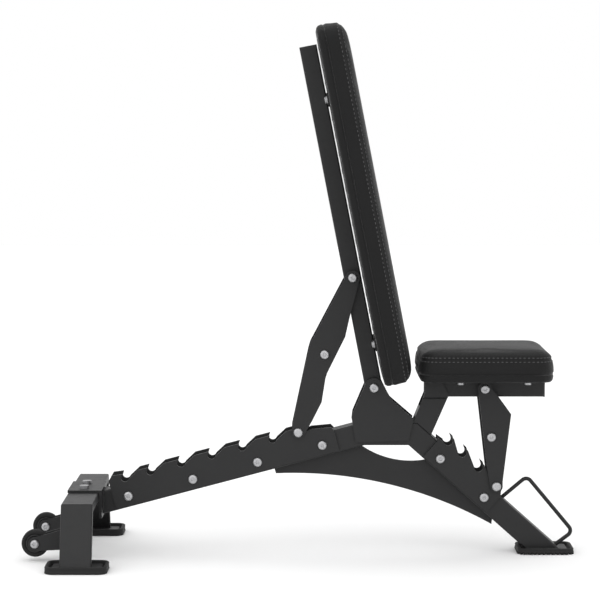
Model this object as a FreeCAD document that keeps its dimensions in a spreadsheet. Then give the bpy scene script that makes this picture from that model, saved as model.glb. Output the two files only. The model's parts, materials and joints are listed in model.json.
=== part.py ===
import FreeCAD, Part
import math
import os

import Sketcher

# Adjustable weight bench, millimetres. +X points to the seat end, +Y across, +Z up, and the floor is z = 0.
# The back rest stands at its steepest setting and the seat is level.

DIMENSIONS = {
    # welded frame
    "frame_width": 60, "frame_depth": 52, "frame_wall": 3, "corner_round": 4,
    "main_slope": 14.8, "leg_slope": 41.65, "centre_height": 276.7, "rear_bend": 144.9, "front_bend": 260,
    "rear_end": -454, "gusset_thick": 8, "plate_thick": 6, "bolt_clear": 6.5,
    "ladder_bolt_first": 97, "ladder_bolt_pitch": 154, "leg_bolt_upper": 84.5, "leg_bolt_lower": 219.5,
    # bolts
    "bolt_radius": 6, "head_radius": 10.5, "head_height": 7, "head_round": 4, "hex_radius": 4.6,
    "hex_depth": 4, "nut_radius": 10.4, "nut_height": 9, "pad_flange": 2, "pad_head": 4,
    "seat_flange": 4, "seat_head": 8,
    # notches
    "pin_rise": 43, "top_notch": 142.9, "end_pitch": 61, "mid_pitch": 72.72, "notch_radius": 9.5,
    "roller_radius": 9, "inner_gap": 29.7,
    # back rest, measured from its pivot up along the tube (along) and out towards the pad (out)
    "back_pivot_x": 170.1, "back_pivot_z": 384.2, "back_angle": 101, "back_tube_low": 22, "back_tube_top": 793,
    "back_tube_depth": 40, "back_tube_width": 50, "strut_pivot": 258.5, "mount_thick": 4, "board_thick": 12,
    "back_mount_thick": 6, "mount_reach": 16, "mount_half": 52, "mount_round": 5, "board_round": 30,
    "cap_lip": 4, "cap_plug": 18,
    "board_half": 140, "pad_half": 150, "back_board_low": 11, "back_board_top": 830, "back_pad_low": 4,
    "back_pad_top": 837, "back_pad_thick": 56, "pad_corner": 40, "pad_edge": 14,
    # seat
    "seat_pivot_x": 302, "seat_pivot_z": 391, "seat_tube_rear": 287, "seat_tube_front": 560,
    "seat_tube_low": 362, "seat_tube_depth": 42, "seat_tube_width": 40, "seat_strut_x": 424.7, "seat_strut_z": 382.2,
    "seat_board_rear": 281, "seat_board_front": 569, "seat_pad_rear": 279, "seat_pad_front": 575.5,
    "seat_pad_thick": 60, "seat_pad_edge": 20, "neck_top": 358,
    # struts and hinges
    "strut_inner": 37, "strut_thick": 5, "strut_top_round": 16, "sleeve_half": 29.5, "hinge_sleeve_radius": 14,
    "strut_sleeve_radius": 12, "strut_sleeve_half": 36.7, "sleeve_bore": 6.05, "spacer_radius": 9,
    "seat_sleeve_radius": 9, "seat_sleeve_half": 20.4, "seat_pin_radius": 5, "seat_sleeve_bore": 5.05,
    "seat_pin_clear": 5.4, "seat_pin_cap": 2, "ear_inner": 20.6, "ear_thick": 6,
    # rear stand
    "beam_rear": -532, "beam_width": 71, "beam_depth": 20, "beam_height": 136.5, "beam_bend": 232.1,
    "splay": 20.8, "saddle_half": 75, "saddle_thick": 6, "saddle_low": 88, "saddle_bolt": 38,
    "rear_foot_rear": -565, "rear_foot_front": -425, "rear_foot_inner": 206, "rear_foot_outer": 310,
    "rear_foot_height": 16, "foot_floor": 6, "foot_rim": 9, "foot_round": 22, "foot_plate_thick": 4,
    # front foot
    "front_foot_rear": 501, "front_foot_front": 632, "front_foot_half": 56, "front_foot_height": 14,
    # wheels
    "wheel_x": -601, "wheel_z": 40, "wheel_y": 123, "wheel_radius": 31, "wheel_width": 24, "tyre_inner": 21,
    "axle_radius": 4, "axle_bore": 4.05, "axle_clear": 4.3,
    "washer_radius": 9.7, "fork_gap": 27, "fork_thick": 4,
    # lift handle
    "rod_radius": 4.5, "rod_bend": 13,
}

doc = FreeCAD.newDocument("weight_bench")
sheet = doc.addObject("Spreadsheet::Sheet", "Dims")
for row, (alias, value) in enumerate(DIMENSIONS.items(), start=1):
    sheet.set("A%d" % row, alias)
    sheet.set("B%d" % row, str(value))
    sheet.setAlias("B%d" % row, alias)
doc.recompute()

parts = []


def dim(alias):
    return float(sheet.get(alias))


def spread(*aliases):
    """The values of several cells."""
    return [dim(alias) for alias in aliases]


def finish(part, node):
    part.Label = node
    parts.append(part)
    return part


# ---- frame geometry: a path through the three frame tubes, and a slanted frame for each ladder ----

MAIN = math.radians(dim("main_slope"))
LEG = math.radians(dim("leg_slope"))
HALF_DEPTH = dim("frame_depth") / 2
HALF_WIDTH = dim("frame_width") / 2
BEND_REAR = (dim("rear_bend"), dim("centre_height"))
BEND_FRONT = (dim("front_bend"), dim("centre_height"))
BACK_PIVOT = (dim("back_pivot_x"), dim("back_pivot_z"))
SEAT_PIVOT = (dim("seat_pivot_x"), dim("seat_pivot_z"))
STRUT_SEAT = (dim("seat_strut_x"), dim("seat_strut_z"))


def on_main(along, above):
    """A point of the main tube's frame: along it from the rear bend, and above its centre line."""
    return (BEND_REAR[0] + along * math.cos(MAIN) - above * math.sin(MAIN),
            BEND_REAR[1] + along * math.sin(MAIN) + above * math.cos(MAIN))


def on_leg(along, above):
    """A point of the front leg's frame: down along it from the front bend, and above its centre line."""
    return (BEND_FRONT[0] + along * math.cos(LEG) + above * math.sin(LEG),
            BEND_FRONT[1] - along * math.sin(LEG) + above * math.cos(LEG))


def on_back(along, out):
    """A point of the back rest's frame, in the row frame at rest."""
    angle = math.radians(dim("back_angle"))
    return (BACK_PIVOT[0] + along * math.cos(angle) + out * math.sin(angle),
            BACK_PIVOT[1] + along * math.sin(angle) - out * math.cos(angle))


def main_at_x(x, above):
    """The point of a line parallel to the main tube that has this x."""
    return (x, BEND_REAR[1] + above / math.cos(MAIN) + (x - BEND_REAR[0]) * math.tan(MAIN))


def leg_at_z(z, above):
    """The point of a line parallel to the front leg that has this z."""
    return (BEND_FRONT[0] + above / math.sin(LEG) + (BEND_FRONT[1] - z) / math.tan(LEG), z)


PINS_REAR = [dim("top_notch") + dim("end_pitch") * 2 + dim("mid_pitch") * 4]
for step in [dim("end_pitch")] + [dim("mid_pitch")] * 4 + [dim("end_pitch")]:
    PINS_REAR.append(PINS_REAR[-1] - step)
BACK_LOCK = on_main(-PINS_REAR[-1], dim("pin_rise"))
BACK_STRUT_TOP = on_back(dim("strut_pivot"), 0)
SEAT_NOTCHES = [(341.3, 260.0), (373.5, 233.0), (411.5, 199.2), (452.0, 156.8)]
SEAT_LOCK = SEAT_NOTCHES[-1]
BACK_STRUT_MID = (56.5, 461.9)
SEAT_STRUT_MID = (439.6, 271.3)
FRAME_BOLTS_REAR = [on_main(-dim("ladder_bolt_first") - dim("ladder_bolt_pitch") * index, 0) for index in range(4)]
FRAME_BOLTS_FRONT = [on_leg(dim(alias), 0) for alias in ("leg_bolt_upper", "leg_bolt_lower")]


# ---- sketch and solid helpers ----

def plane(body, role):
    return [item for item in body.Origin.OriginFeatures if item.Role == role][0]


def new_body(name):
    return doc.addObject("PartDesign::Body", name)


def sketch_on(body, role, outline, holes=()):
    """A closed outline of points and ("arc", middle, end) steps, or none, with round holes bound to sheet cells."""
    sketch = body.newObject("Sketcher::SketchObject", body.Name + "_sketch")
    sketch.AttachmentSupport = [(plane(body, role), "")]
    sketch.MapMode = "FlatFace"

    def flat(point):
        return FreeCAD.Vector(point[0], point[1], 0)

    here = flat(outline[0]) if outline else None
    for item in list(outline[1:]) + list(outline[:1]):
        if item[0] == "arc":
            there = flat(item[2])
            sketch.addGeometry(Part.Arc(here, flat(item[1]), there), False)
        else:
            there = flat(item)
            if there.distanceToPoint(here) < 1e-6:
                continue
            sketch.addGeometry(Part.LineSegment(here, there), False)
        here = there
    for x, y, alias in holes:
        index = sketch.addGeometry(Part.Circle(flat((x, y)), FreeCAD.Vector(0, 0, 1), dim(alias)), False)
        constraint = sketch.addConstraint(Sketcher.Constraint("Radius", index, dim(alias)))
        sketch.setExpression("Constraints[%d]" % constraint, "Dims." + alias)
    return sketch


def pad(body, sketch, length, symmetric=True):
    feature = body.newObject("PartDesign::Pad", body.Name + "_pad")
    feature.Profile = sketch
    feature.setExpression("Length", length)
    feature.Midplane = symmetric
    doc.recompute()
    return feature


def pocket(body, sketch, length, through=False, reverse=False):
    before = body.Shape.Volume
    feature = body.newObject("PartDesign::Pocket", body.Name + "_pocket")
    feature.Profile = sketch
    if through:
        feature.Type = 1
    else:
        feature.setExpression("Length", length)
    feature.Midplane = not reverse
    feature.Reversed = reverse
    doc.recompute()
    if not body.Shape.Volume < before - 1:
        raise RuntimeError(body.Name + ": a pocket cuts nothing")
    return feature


def bore(body, role, holes):
    """Round holes right through a body, square to one of its planes."""
    pocket(body, sketch_on(body, role, (), holes), None, through=True)


def fillet(body, base, radius, chosen):
    names = ["Edge%d" % (index + 1) for index, edge in enumerate(base.Shape.Edges) if chosen(edge)]
    feature = body.newObject("PartDesign::Fillet", body.Name + "_fillet")
    feature.Base = (base, names)
    feature.setExpression("Radius", radius)
    doc.recompute()
    return feature


def profile(node, outline, thickness, middle="0", holes=()):
    """A plate cut to an outline in the XZ plane, centred on y = middle."""
    body = new_body(node)
    pad(body, sketch_on(body, "XZ_Plane", outline, holes), "Dims.%s" % thickness)
    body.setExpression("Placement.Base.y", middle)
    return finish(body, node)


def mitred_tube(node, outer, inner, bores=()):
    """A square-cut or mitred frame tube: outline in the XZ plane, hollow, with rounded long edges."""
    body = new_body(node)
    base = pad(body, sketch_on(body, "XZ_Plane", outer), "Dims.frame_width")

    def long_side(edge):
        side = all(abs(abs(vertex.Y) - HALF_WIDTH) < 1e-3 for vertex in edge.Vertexes)
        ends = [FreeCAD.Vector(vertex.X, 0, vertex.Z) for vertex in edge.Vertexes]
        return side and edge.Length > 80 and ends[0].distanceToPoint(ends[1]) > 80

    fillet(body, base, "Dims.corner_round", long_side)
    pocket(body, sketch_on(body, "XZ_Plane", inner), "Dims.frame_width - 2 * Dims.frame_wall")
    if bores:
        bore(body, "XZ_Plane", bores)
    return finish(body, node)


def place(item, x=None, y=None, z=None):
    for axis, expression in (("x", x), ("y", y), ("z", z)):
        if expression is not None:
            item.setExpression("Placement.Base." + axis, str(expression))


def rod(name, radius, start, length, x, z):
    """A cylinder along +Y from y = start, at x, z."""
    item = doc.addObject("Part::Cylinder", name)
    item.Placement = FreeCAD.Placement(FreeCAD.Vector(), FreeCAD.Rotation(FreeCAD.Vector(1, 0, 0), -90))
    item.setExpression("Radius", radius)
    item.setExpression("Height", length)
    place(item, x, start, z)
    return item


def sleeve(node, radius, bore, half, x, z):
    """A tube along Y, half to each side of the middle plane."""
    outer = rod(node + "_outer", radius, "-(%s)" % half, "2 * (%s)" % half, x, z)
    inner = rod(node + "_bore", bore, "-(%s) - 1" % half, "2 * (%s) + 2" % half, x, z)
    cut = doc.addObject("Part::Cut", node)
    cut.Base = outer
    cut.Tool = inner
    return finish(cut, node)


def prism(name, circumradius, start, length, x, z):
    item = doc.addObject("Part::Prism", name)
    item.Polygon = 6
    item.Placement = FreeCAD.Placement(FreeCAD.Vector(), FreeCAD.Rotation(FreeCAD.Vector(1, 0, 0), -90))
    item.setExpression("Circumradius", circumradius)
    item.setExpression("Height", length)
    place(item, x, start, z)
    return item


def bolt(name, x, z, face, radius="Dims.bolt_radius", head="Dims.head_radius", middle="0"):
    """A button-head bolt along Y with its nut, clamping from -face to +face about y = middle."""
    head_low = "%s - (%s) - Dims.head_height" % (middle, face)
    shank = rod(name + "_shank", radius, "%s - (%s)" % (middle, face), "2 * (%s)" % face, x, z)
    dome = rod(name + "_dome", head, head_low, "Dims.head_height", x, z)
    doc.recompute()
    rim = doc.addObject("Part::Fillet", name + "_rim")
    rim.Base = dome
    low = min(edge.BoundBox.YMax for edge in dome.Shape.Edges)
    edges = [index + 1 for index, edge in enumerate(dome.Shape.Edges) if abs(edge.BoundBox.YMax - low) < 1e-3]
    rim.Edges = [(index, dim("head_round"), dim("head_round")) for index in edges]
    socket = prism(name + "_socket", "Dims.hex_radius", head_low + " - 1", "Dims.hex_depth + 1", x, z)
    headed = doc.addObject("Part::Cut", name + "_head")
    headed.Base = rim
    headed.Tool = socket
    nut = prism(name + "_nut", "(%s) * Dims.nut_radius / Dims.head_radius" % head,
                "%s + (%s)" % (middle, face), "Dims.nut_height", x, z)
    whole = doc.addObject("Part::MultiFuse", name)
    whole.Shapes = [shank, headed, nut]
    return whole


def group(node, items):
    """Identical fasteners kept as separate solids in one node."""
    if len(items) == 1:
        return finish(items[0], node)
    compound = doc.addObject("Part::Compound", node)
    compound.Links = items
    return finish(compound, node)


def block(name, x, y, z, length, width, height):
    item = doc.addObject("Part::Box", name)
    for key, expression in (("Length", length), ("Width", width), ("Height", height)):
        item.setExpression(key, str(expression))
    place(item, x, y, z)
    return item


SIDES = (("left", -1), ("right", 1))


# ---- frame tubes ----

def frame_tubes():
    outer_up, outer_down = HALF_DEPTH, -HALF_DEPTH
    inner_up, inner_down = HALF_DEPTH - dim("frame_wall"), dim("frame_wall") - HALF_DEPTH
    foot_z = dim("foot_floor") + dim("foot_plate_thick")

    def rear_mitre(above):
        return (BEND_REAR[0] - above * math.tan(MAIN / 2), BEND_REAR[1] + above)

    def front_mitre(above):
        return (BEND_FRONT[0] + above * math.tan(LEG / 2), BEND_FRONT[1] + above)

    def beyond(start, end, distance=20):
        length = math.dist(start, end)
        return tuple(b + (b - a) * distance / length for a, b in zip(start, end))

    def tube(node, line, bores):
        outer = [line(outer_down)[0], line(outer_down)[1], line(outer_up)[1], line(outer_up)[0]]
        low, high = line(inner_down), line(inner_up)
        inner = [beyond(low[1], low[0]), beyond(low[0], low[1]), beyond(high[0], high[1]), beyond(high[1], high[0])]
        return mitred_tube(node, outer, inner, bores)

    bores = [(x, z, "bolt_clear") for x, z in FRAME_BOLTS_REAR]
    tube("main_tube", lambda above: (main_at_x(dim("rear_end"), above), rear_mitre(above)), bores)
    tube("centre_tube", lambda above: (rear_mitre(above), front_mitre(above)), [])
    bores = [(x, z, "bolt_clear") for x, z in FRAME_BOLTS_FRONT]
    tube("front_leg_tube", lambda above: (front_mitre(above), leg_at_z(foot_z, above)), bores)


def neck():
    top = dim("neck_top")
    wall = dim("frame_wall")
    floor = BEND_FRONT[1] + HALF_DEPTH
    corner = (BEND_FRONT[0] + HALF_DEPTH * math.tan(LEG / 2), floor)
    front_foot = on_leg(33.2, HALF_DEPTH)
    outer = [(252, floor), ("arc", (258.6, 304.6), (263.6, 311.5)), (282.2, top), (338.8, top), front_foot, corner]
    inner = [(262 + wall, floor - 40), (268.5, 316), (285.6, top + 20), (343.6, top + 20), (300.4, 274), (300, 262)]
    mitred_tube("neck_tube", outer, inner)


def gusset():
    low_rear = main_at_x(-59.8, -HALF_DEPTH)
    window_rear = main_at_x(140, -HALF_DEPTH)
    window_front = leg_at_z(214.1, -HALF_DEPTH)
    low_front = leg_at_z(77, -HALF_DEPTH)
    outline = [low_rear, window_rear, ("arc", (213, 215.8), window_front), low_front, (443.8, 63.6),
               ("arc", (196, 159), (-55.7, 182.2))]
    profile("gusset_plate", outline, "gusset_thick")


# ---- ladders ----

def rear_ladder_outline():
    """Seven notches along the main tube, each hooked at its rear side with a ramp at its front side."""
    rise = dim("pin_rise")
    notch = dim("notch_radius")
    outline = [on_main(-590, -22), on_main(-62, -22), on_main(-62, 26), on_main(-67, 34.5), on_main(-112, 42)]
    for index, pin in enumerate(reversed(PINS_REAR)):
        if index > 0:
            outline += [on_main(34 - pin, rise + 9)]
        outline += [on_main(8 - pin, rise - 5.1),
                    ("arc", on_main(-2.4 - pin, rise - 9.2), on_main(-notch - pin, rise)),
                    on_main(-4 - pin, rise + 9)]
    return outline + [on_main(-584, 55), on_main(-594, 45), on_main(-594, -18)]


def front_ladder_outline():
    """Four notches down the front leg, each with an upright wall at its front side."""
    notch = dim("notch_radius")
    outline = [on_leg(52, -22), on_leg(52, 26), on_leg(47, 32), on_leg(66, 34)]
    for x, z in SEAT_NOTCHES:
        outline += [(x - notch, z), ("arc", (x, z - notch), (x + notch - 0.4, z + 2)), (x + 5.4, z + 13)]
        if (x, z) != SEAT_LOCK:
            outline += [(x + 13.5, z + 5.5)]
    return outline + [(SEAT_LOCK[0] + 13, SEAT_LOCK[1] + 6), on_leg(247, 26), on_leg(247, -22)]


def hinge_bracket_outline():
    top = [(148.4, 388.5), ("arc", (171.5, 406.6), (191, 391.5))]
    return top + [(203, 367.5), (208.3, 358.2), (261.5, 312.4), (250, 262), (128, 258), (119.6, 308.3),
                  (121.8, 325.9)]


def side_plates():
    middle = "(Dims.frame_width + Dims.plate_thick) / 2"
    rear_holes = [(x, z, "bolt_clear") for x, z in FRAME_BOLTS_REAR]
    front_holes = [(x, z, "bolt_clear") for x, z in FRAME_BOLTS_FRONT]
    for side, sign in SIDES:
        where = "%d * %s" % (sign, middle)
        profile("rear_ladder_plate_" + side, rear_ladder_outline(), "plate_thick", where, rear_holes)
        profile("front_ladder_plate_" + side, front_ladder_outline(), "plate_thick", where, front_holes)
        profile("hinge_bracket_" + side, hinge_bracket_outline(), "plate_thick", where,
                [BACK_PIVOT + ("bolt_clear",)])
    x, z = SEAT_PIVOT
    rear = dim("seat_tube_rear")
    ear = [(282.2, dim("neck_top")), (338.8, dim("neck_top")), (343, 367), (326, 398), (320, 402), (rear + 4, 402),
           (rear, 398), (rear, 370)]
    ears = []
    for side, sign in SIDES:
        body = new_body("seat_hinge_ear_" + side)
        pad(body, sketch_on(body, "XZ_Plane", ear, [(x, z, "seat_pin_clear")]), "Dims.ear_thick")
        place(body, y="%d * (Dims.ear_inner + Dims.ear_thick / 2)" % sign)
        ears.append(body)
    group("seat_hinge_ears", ears)


# ---- bolts of the fixed frame ----

def frame_bolts():
    face = "Dims.frame_width / 2 + Dims.plate_thick"
    rear = [bolt("frame_bolt_rear%d" % index, x, z, face) for index, (x, z) in enumerate(FRAME_BOLTS_REAR)]
    front = [bolt("frame_bolt_front%d" % index, x, z, face) for index, (x, z) in enumerate(FRAME_BOLTS_FRONT)]
    group("frame_bolts", rear + front)
    group("back_hinge_bolt", [bolt("hinge_bolt", "Dims.back_pivot_x", "Dims.back_pivot_z", face)])
    pin = doc.addObject("Part::MultiFuse", "seat_hinge_pin")
    outer = "Dims.ear_inner + Dims.ear_thick"
    pin.Shapes = [rod("seat_pin_shank", "Dims.seat_pin_radius", "-(%s)" % outer, "2 * (%s)" % outer,
                      "Dims.seat_pivot_x", "Dims.seat_pivot_z")]
    pin.Shapes = pin.Shapes + [rod("seat_pin_cap%d" % index, "Dims.seat_pin_radius + 3", start, "Dims.seat_pin_cap",
                                   "Dims.seat_pivot_x", "Dims.seat_pivot_z")
                               for index, start in enumerate(("-(%s) - Dims.seat_pin_cap" % outer, outer))]
    finish(pin, "seat_hinge_pin")


# ---- rear stand ----

def rear_stand():
    splay = math.radians(dim("splay"))
    foot = dim("foot_floor") + dim("foot_plate_thick")
    height = dim("beam_height")

    def shell(offset, extra):
        """Outline of the bent beam at this offset from its centre line, in the YZ plane."""
        points = []
        turn = (math.pi / 2 - splay) / 2
        for away in (offset, -offset):
            bend = dim("beam_bend") + away * math.tan(turn)
            end = dim("beam_bend") + away / math.cos(splay) + (height - foot + extra) * math.tan(splay)
            side = [(-end, foot - extra), (-bend, height + away), (bend, height + away), (end, foot - extra)]
            points.append(side)
        return points[0] + points[1][::-1]

    body = new_body("rear_crossbeam")
    base = pad(body, sketch_on(body, "YZ_Plane", shell(dim("beam_depth") / 2, 0)), "Dims.beam_width")
    half = dim("beam_width") / 2
    fillet(body, base, "Dims.corner_round",
           lambda edge: edge.Length > 80 and all(abs(abs(vertex.X) - half) < 1e-3 for vertex in edge.Vertexes))
    pocket(body, sketch_on(body, "YZ_Plane", shell(dim("beam_depth") / 2 - dim("frame_wall"), 10)),
           "Dims.beam_width - 2 * Dims.frame_wall")
    bore(body, "XY_Plane", [(0, sign * dim("saddle_bolt"), "bolt_clear") for _, sign in SIDES])
    place(body, x="Dims.beam_rear + Dims.beam_width / 2")
    finish(body, "rear_crossbeam")

    top = dim("beam_height") + dim("beam_depth") / 2
    thick, rear, front = spread("saddle_thick", "beam_rear", "rear_end")
    bracket = new_body("rear_saddle_bracket")
    outline = [(rear, top), (front - thick, top), (front - thick, dim("saddle_low")), (front, dim("saddle_low")),
               (front, top + thick), (rear, top + thick)]
    pad(bracket, sketch_on(bracket, "XZ_Plane", outline), "2 * Dims.saddle_half")
    middle = rear + dim("beam_width") / 2
    bore(bracket, "XY_Plane", [(middle, sign * dim("saddle_bolt"), "bolt_clear") for _, sign in SIDES])
    finish(bracket, "rear_saddle_bracket")

    bolts = []
    for side, sign in SIDES:
        depth, head, nut = spread("beam_depth", "head_height", "nut_height")
        stack = [("shank", "Dims.bolt_radius", top - depth, depth + thick),
                 ("head", "Dims.head_radius", top + thick, head), ("nut", "Dims.nut_radius", top - depth - nut, nut)]
        solids = []
        for name, radius, low, tall in stack:
            item = doc.addObject("Part::Cylinder", "saddle_%s_%s" % (name, side))
            item.setExpression("Radius", radius)
            item.setExpression("Height", str(tall))
            place(item, middle, "%d * Dims.saddle_bolt" % sign, low)
            solids.append(item)
        whole = doc.addObject("Part::MultiFuse", "saddle_bolt_" + side)
        whole.Shapes = solids
        bolts.append(whole)
    group("saddle_bolts", bolts)


def rounded(x_low, x_high, y_low, y_high, radius):
    """Outline of a rectangle with round corners, in the XY plane."""
    bulge = radius * (1 - math.sqrt(0.5))
    return [(x_low + radius, y_low), (x_high - radius, y_low),
            ("arc", (x_high - bulge, y_low + bulge), (x_high, y_low + radius)), (x_high, y_high - radius),
            ("arc", (x_high - bulge, y_high - bulge), (x_high - radius, y_high)), (x_low + radius, y_high),
            ("arc", (x_low + bulge, y_high - bulge), (x_low, y_high - radius)), (x_low, y_low + radius),
            ("arc", (x_low + bulge, y_low + bulge), (x_low + radius, y_low))]


def slab(node, x_low, x_high, y_low, y_high, radius, thickness, low="0"):
    """A flat plate in the XY plane with round corners, standing on z = low."""
    body = new_body(node)
    pad(body, sketch_on(body, "XY_Plane", rounded(x_low, x_high, y_low, y_high, radius)), thickness, False)
    place(body, z=low)
    return body


def foot(node, x_low, x_high, y_low, y_high, height):
    """A rubber tray with a raised rim, and the steel plate that lies in it, which is returned."""
    rim, radius, floor = spread("foot_rim", "foot_round", "foot_floor")
    body = slab(node, x_low, x_high, y_low, y_high, radius, "Dims." + height)
    hollow = rounded(x_low + rim, x_high - rim, y_low + rim, y_high - rim, radius - rim)
    sketch = sketch_on(body, "XY_Plane", hollow)
    sketch.AttachmentOffset = FreeCAD.Placement(FreeCAD.Vector(0, 0, floor), FreeCAD.Rotation())
    pocket(body, sketch, "100", reverse=True)
    finish(body, node)
    inset = rim + 6
    return slab(node + "_plate", x_low + inset, x_high - inset, y_low + inset, y_high - inset, radius - inset,
                "Dims.foot_plate_thick", "Dims.foot_floor")


def feet():
    rear, front, inner, outer = spread("rear_foot_rear", "rear_foot_front", "rear_foot_inner", "rear_foot_outer")
    group("rear_foot_plates", [foot("rear_foot_left", rear, front, -outer, -inner, "rear_foot_height"),
                               foot("rear_foot_right", rear, front, inner, outer, "rear_foot_height")])
    half = dim("front_foot_half")
    plate = foot("front_foot", dim("front_foot_rear"), dim("front_foot_front"), -half, half, "front_foot_height")
    finish(plate, "front_foot_plate")


def wheels():
    x, z = dim("wheel_x"), dim("wheel_z")
    reach = 16
    under = dim("beam_height") - dim("beam_depth") / 2
    outline = [(x + 4, z - reach + 0.5), (-508, 28), (-476, 100), (-476, under), (-520, under), (-545, 71), (-572, 63),
               (x + 2, z + reach), ("arc", (x - reach, z), (x + 4, z - reach + 0.5))]
    for side, sign in SIDES:
        body = new_body("wheel_bracket_" + side)
        sketch = sketch_on(body, "XZ_Plane", outline, [(x, z, "axle_clear")])
        pad(body, sketch, "Dims.fork_gap + 2 * Dims.fork_thick")
        slot = [(x - 60, 0), (-440, 0), (-440, under - dim("fork_thick")), (x - 60, under - dim("fork_thick"))]
        pocket(body, sketch_on(body, "XZ_Plane", slot), "Dims.fork_gap")
        body.setExpression("Placement.Base.y", "%d * Dims.wheel_y" % sign)
        finish(body, "wheel_bracket_" + side)
        middle = "%d * Dims.wheel_y" % sign
        half = "Dims.wheel_width / 2"
        wheel_ring("wheel_tyre_" + side, "Dims.wheel_radius", "Dims.tyre_inner", middle, half, 3)
        wheel_ring("wheel_hub_" + side, "Dims.tyre_inner", "Dims.axle_bore", middle, half, 0)
    axles = []
    for side, sign in SIDES:
        axles.append(bolt("axle_bolt_" + side, "Dims.wheel_x", "Dims.wheel_z",
                          "Dims.fork_gap / 2 + Dims.fork_thick", "Dims.axle_radius", "Dims.washer_radius",
                          "%d * Dims.wheel_y" % sign))
    group("wheel_axle_bolts", axles)


def wheel_ring(node, radius, bore, middle, half, edge):
    outer = rod(node + "_outer", radius, "%s - %s" % (middle, half), "2 * " + half, "Dims.wheel_x", "Dims.wheel_z")
    inner = rod(node + "_bore", bore, "%s - %s - 1" % (middle, half), "2 * %s + 2" % half,
                "Dims.wheel_x", "Dims.wheel_z")
    doc.recompute()
    if edge:
        rounded_rim = doc.addObject("Part::Fillet", node + "_rim")
        rounded_rim.Base = outer
        wanted = [index + 1 for index, item in enumerate(outer.Shape.Edges) if len(item.Vertexes) == 1]
        rounded_rim.Edges = [(index, edge, edge) for index in wanted]
        outer = rounded_rim
    cut = doc.addObject("Part::Cut", node)
    cut.Base = outer
    cut.Tool = inner
    finish(cut, node)


def handle():
    """A bent round rod whose two ends meet the top of the front leg."""
    corners = [(452, 113), (525.7, 174.9), (633, 46), (582.5, 8.5)]
    points = [FreeCAD.Vector(x, 0, z) for x, z in corners]
    bend = dim("rod_bend")
    edges = []
    start = points[0]
    for index in (1, 2):
        before = (points[index - 1] - points[index]).normalize()
        after = (points[index + 1] - points[index]).normalize()
        half_turn = (math.pi - before.getAngle(after)) / 2
        reach = bend * math.tan(half_turn)
        first, last = points[index] + before * reach, points[index] + after * reach
        inward = (before + after).normalize()
        middle = points[index] + inward * (bend / math.cos(half_turn) - bend)
        edges.append(Part.LineSegment(start, first).toShape())
        edges.append(Part.Arc(first, middle, last).toShape())
        start = last
    edges.append(Part.LineSegment(start, points[3]).toShape())
    path = Part.Wire(edges)
    direction = points[1] - points[0]
    ring = Part.Wire([Part.Circle(points[0], direction, dim("rod_radius")).toShape()])
    swept = path.makePipeShell([ring], True, True)
    slant = FreeCAD.Rotation(FreeCAD.Vector(0, 1, 0), dim("leg_slope"))
    depth = dim("frame_depth")
    low = on_leg(150, -depth / 2)
    leg_space = Part.makeBox(330, 2 * depth, depth)
    leg_space.Placement = FreeCAD.Placement(FreeCAD.Vector(low[0], -depth, low[1]), slant)
    item = doc.addObject("Part::Feature", "lift_handle")
    item.Shape = swept.cut(leg_space)
    finish(item, "lift_handle")


# ---- back rest: built lying along +X with the pad towards -Z, then turned to its angle ----

def lean(item):
    item.Placement = FreeCAD.Placement(FreeCAD.Vector(BACK_PIVOT[0], 0, BACK_PIVOT[1]),
                                       FreeCAD.Rotation(FreeCAD.Vector(0, 1, 0), -dim("back_angle")))
    place(item, x="Dims.back_pivot_x", z="Dims.back_pivot_z")
    return item


def hollow_box(node, low, high, z_low, depth, width, holes):
    """A rectangular tube along X with round bores across it."""
    body = new_body(node)
    outline = [(low, z_low), (high, z_low), (high, z_low + depth), (low, z_low + depth)]
    base = pad(body, sketch_on(body, "XZ_Plane", outline), "Dims." + width)
    fillet(body, base, "Dims.corner_round", lambda edge: edge.Length > 200)
    wall = dim("frame_wall")
    inner = [(low - 5, z_low + wall), (high + 5, z_low + wall), (high + 5, z_low + depth - wall),
             (low - 5, z_low + depth - wall)]
    pocket(body, sketch_on(body, "XZ_Plane", inner), "Dims.%s - 2 * Dims.frame_wall" % width)
    bore(body, "XZ_Plane", holes)
    return body


def end_cap(node, x_high, z_low, depth, width):
    """A plastic plug with a lip, closing the far end of a rectangular tube."""
    wall = dim("frame_wall")
    lip = block(node + "_lip", x_high, "-Dims.%s / 2" % width, z_low, "Dims.cap_lip", "Dims." + width, depth)
    plug = block(node + "_plug", x_high - dim("cap_plug"), "-Dims.%s / 2 + Dims.frame_wall" % width, z_low + wall,
                 "Dims.cap_plug",
                 "Dims.%s - 2 * Dims.frame_wall" % width, depth - 2 * wall)
    whole = doc.addObject("Part::MultiFuse", node)
    whole.Shapes = [lip, plug]
    return finish(whole, node)


def pad_bolts(node, places, face, board, sizes=("pad_flange", "pad_head")):
    """Flanged bolts that hold a mount plate to the pad's board: face is the plate's side, board the far side."""
    toward = 1 if board > face else -1
    flange, head = spread(*sizes)
    items = []
    for index, (x, y) in enumerate(places):
        stack = [("shank", "Dims.axle_radius", face, abs(board - face), toward),
                 ("flange", "Dims.washer_radius", face, flange, -toward),
                 ("head", "Dims.washer_radius - 1.5", face - toward * flange, head, -toward)]
        solids = []
        for name, radius, start, tall, way in stack:
            item = doc.addObject("Part::Cylinder", "%s_%s%d" % (node, name, index))
            item.setExpression("Radius", radius)
            item.setExpression("Height", str(tall))
            place(item, x, y, start if way > 0 else start - tall)
            solids.append(item)
        whole = doc.addObject("Part::MultiFuse", "%s_bolt%d" % (node, index))
        whole.Shapes = solids
        items.append(whole)
    return group(node, items)


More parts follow.
